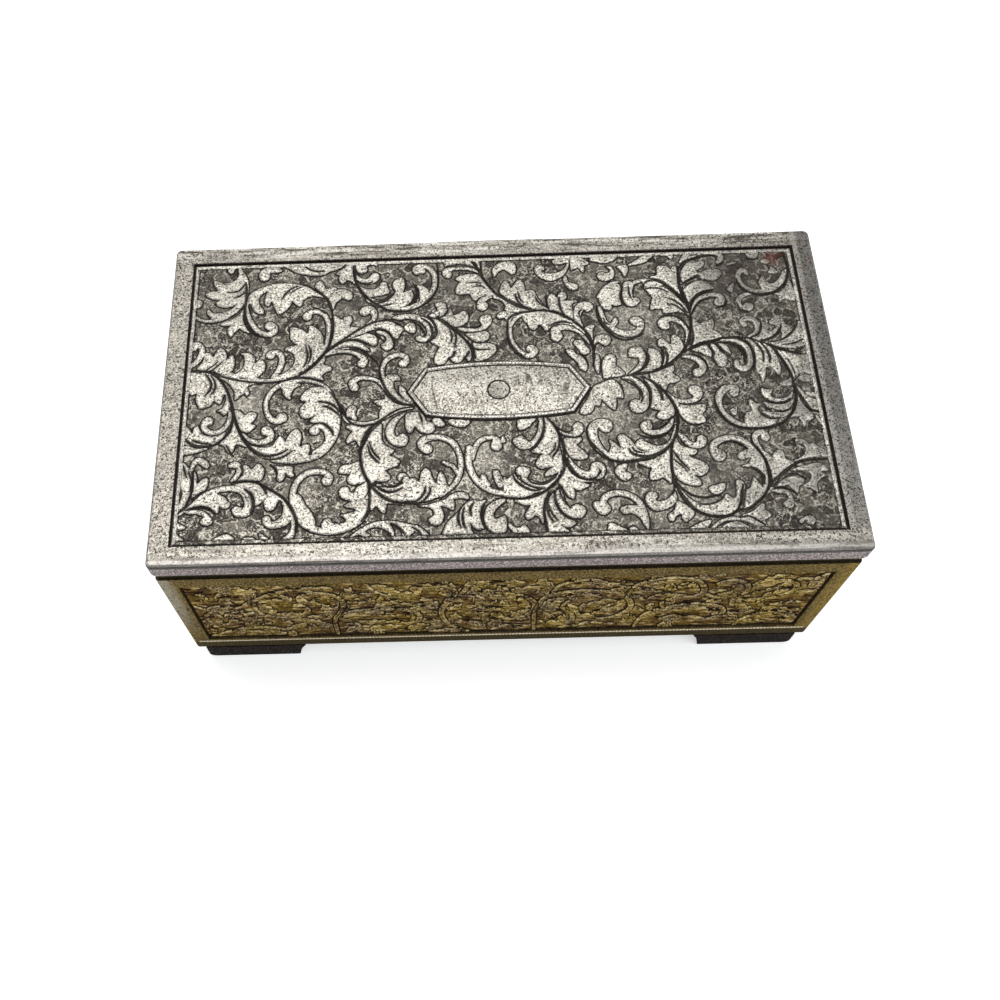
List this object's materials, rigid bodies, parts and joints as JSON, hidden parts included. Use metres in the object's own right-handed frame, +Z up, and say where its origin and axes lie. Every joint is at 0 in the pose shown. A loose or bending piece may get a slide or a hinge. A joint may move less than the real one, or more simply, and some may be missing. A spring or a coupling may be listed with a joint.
{
  "type": "music box",
  "caption": "Rectangular cast-metal keepsake box on bracket feet: hinged lid with a scroll panel and cartouche, lined well, clear-covered wind-up musical movement.",
  "frame": {"origin": "middle of the overall box at the surface it stands on", "axes": "+X to the right along the long side, +Y from the front to the hinge at the rear, +Z up"},
  "size_m": [0.115, 0.0668, 0.0445],
  "materials": {
    "cast_metal": "aged silver-toned cast white metal",
    "dark_cast_metal": "dark tarnished cast white metal",
    "steel": "bright steel",
    "blued_steel": "blued spring steel",
    "brass": "polished brass",
    "zinc": "zinc die casting, matt",
    "velvet": "wine-red velvet over card",
    "card": "velvet-covered card",
    "clear_plastic": "clear acrylic sheet",
    "felt": "green felt"
  },
  "bodies": {
    "case": {"case_body": "cast_metal", "hinge_pin": "steel", "foot_front_left": "dark_cast_metal", "foot_front_right": "dark_cast_metal", "foot_rear_left": "dark_cast_metal", "foot_rear_right": "dark_cast_metal", "base_felt": "felt", "key_cup": "brass", "tray_lining": "velvet", "partition": "card", "movement_cover": "clear_plastic", "front_ledge": "card", "rear_ledge": "card", "bedplate": "zinc", "bed_screw_1": "steel", "bed_screw_2": "steel", "bed_screw_3": "steel", "bed_screw_4": "steel", "comb": "steel", "comb_screw_1": "blued_steel", "comb_screw_2": "blued_steel", "spring_bridge": "zinc", "bridge_screw_1": "steel", "bridge_screw_2": "steel", "governor_frame": "brass", "governor_screw": "steel", "stop_spring": "steel"},
    "lid": {"lid_shell": "cast_metal", "lid_lining": "velvet"},
    "key": {"winding_key": "brass", "winding_arbor": "steel"},
    "spring_drum": {"great_wheel": "brass", "mainspring": "blued_steel"},
    "cylinder": {"cylinder_arbor": "steel", "pinned_cylinder": "brass", "cylinder_gear": "brass"},
    "second_arbor": {"second_wheel": "brass"},
    "fan": {"worm_shaft": "steel", "governor_fan": "brass"},
    "stop": {"stop_pin": "steel", "brake_arm": "blued_steel"}
  },
  "joints": [
    {"name": "lid_hinge", "type": "hinge", "parent": "case", "child": "lid", "pos_m": [0, 0.03213, 0.0395], "axis": [-1, 0, 0], "range_deg": [0, 100]},
    {"name": "key_turn", "type": "hinge", "parent": "case", "child": "key", "pos_m": [-0.0355, -0.01607, 0.0052], "axis": [0, 0, 1], "continuous": true},
    {"name": "cylinder_spin", "type": "hinge", "parent": "case", "child": "cylinder", "pos_m": [-0.0355, 0.01657, 0.0234], "axis": [0, 1, 0], "continuous": true},
    {"name": "great_wheel_spin", "type": "hinge", "parent": "case", "child": "spring_drum", "pos_m": [-0.0355, -0.01607, 0.0207], "axis": [0, 0, 1], "continuous": true},
    {"name": "second_wheel_spin", "type": "hinge", "parent": "case", "child": "second_arbor", "pos_m": [-0.0445, 0.02048, 0.0234], "axis": [0, 1, 0], "continuous": true},
    {"name": "fan_spin", "type": "hinge", "parent": "case", "child": "fan", "pos_m": [-0.0489, 0.02048, 0.0234], "axis": [0, 0, 1], "continuous": true},
    {"name": "stop_slide", "type": "slide", "parent": "case", "child": "stop", "axis": [0, 0, 1], "range_m": [0, 0.003], "deforming": ["stop_spring"]}
  ],
  "couplings": [
    {"joint": "great_wheel_spin", "follows": "cylinder_spin", "ratio": 0.25},
    {"joint": "second_wheel_spin", "follows": "cylinder_spin", "ratio": -4},
    {"joint": "fan_spin", "follows": "cylinder_spin", "ratio": 64},
    {"joint": "stop_slide", "follows": "lid_hinge", "m_per_rad": 0.001718}
  ]
}
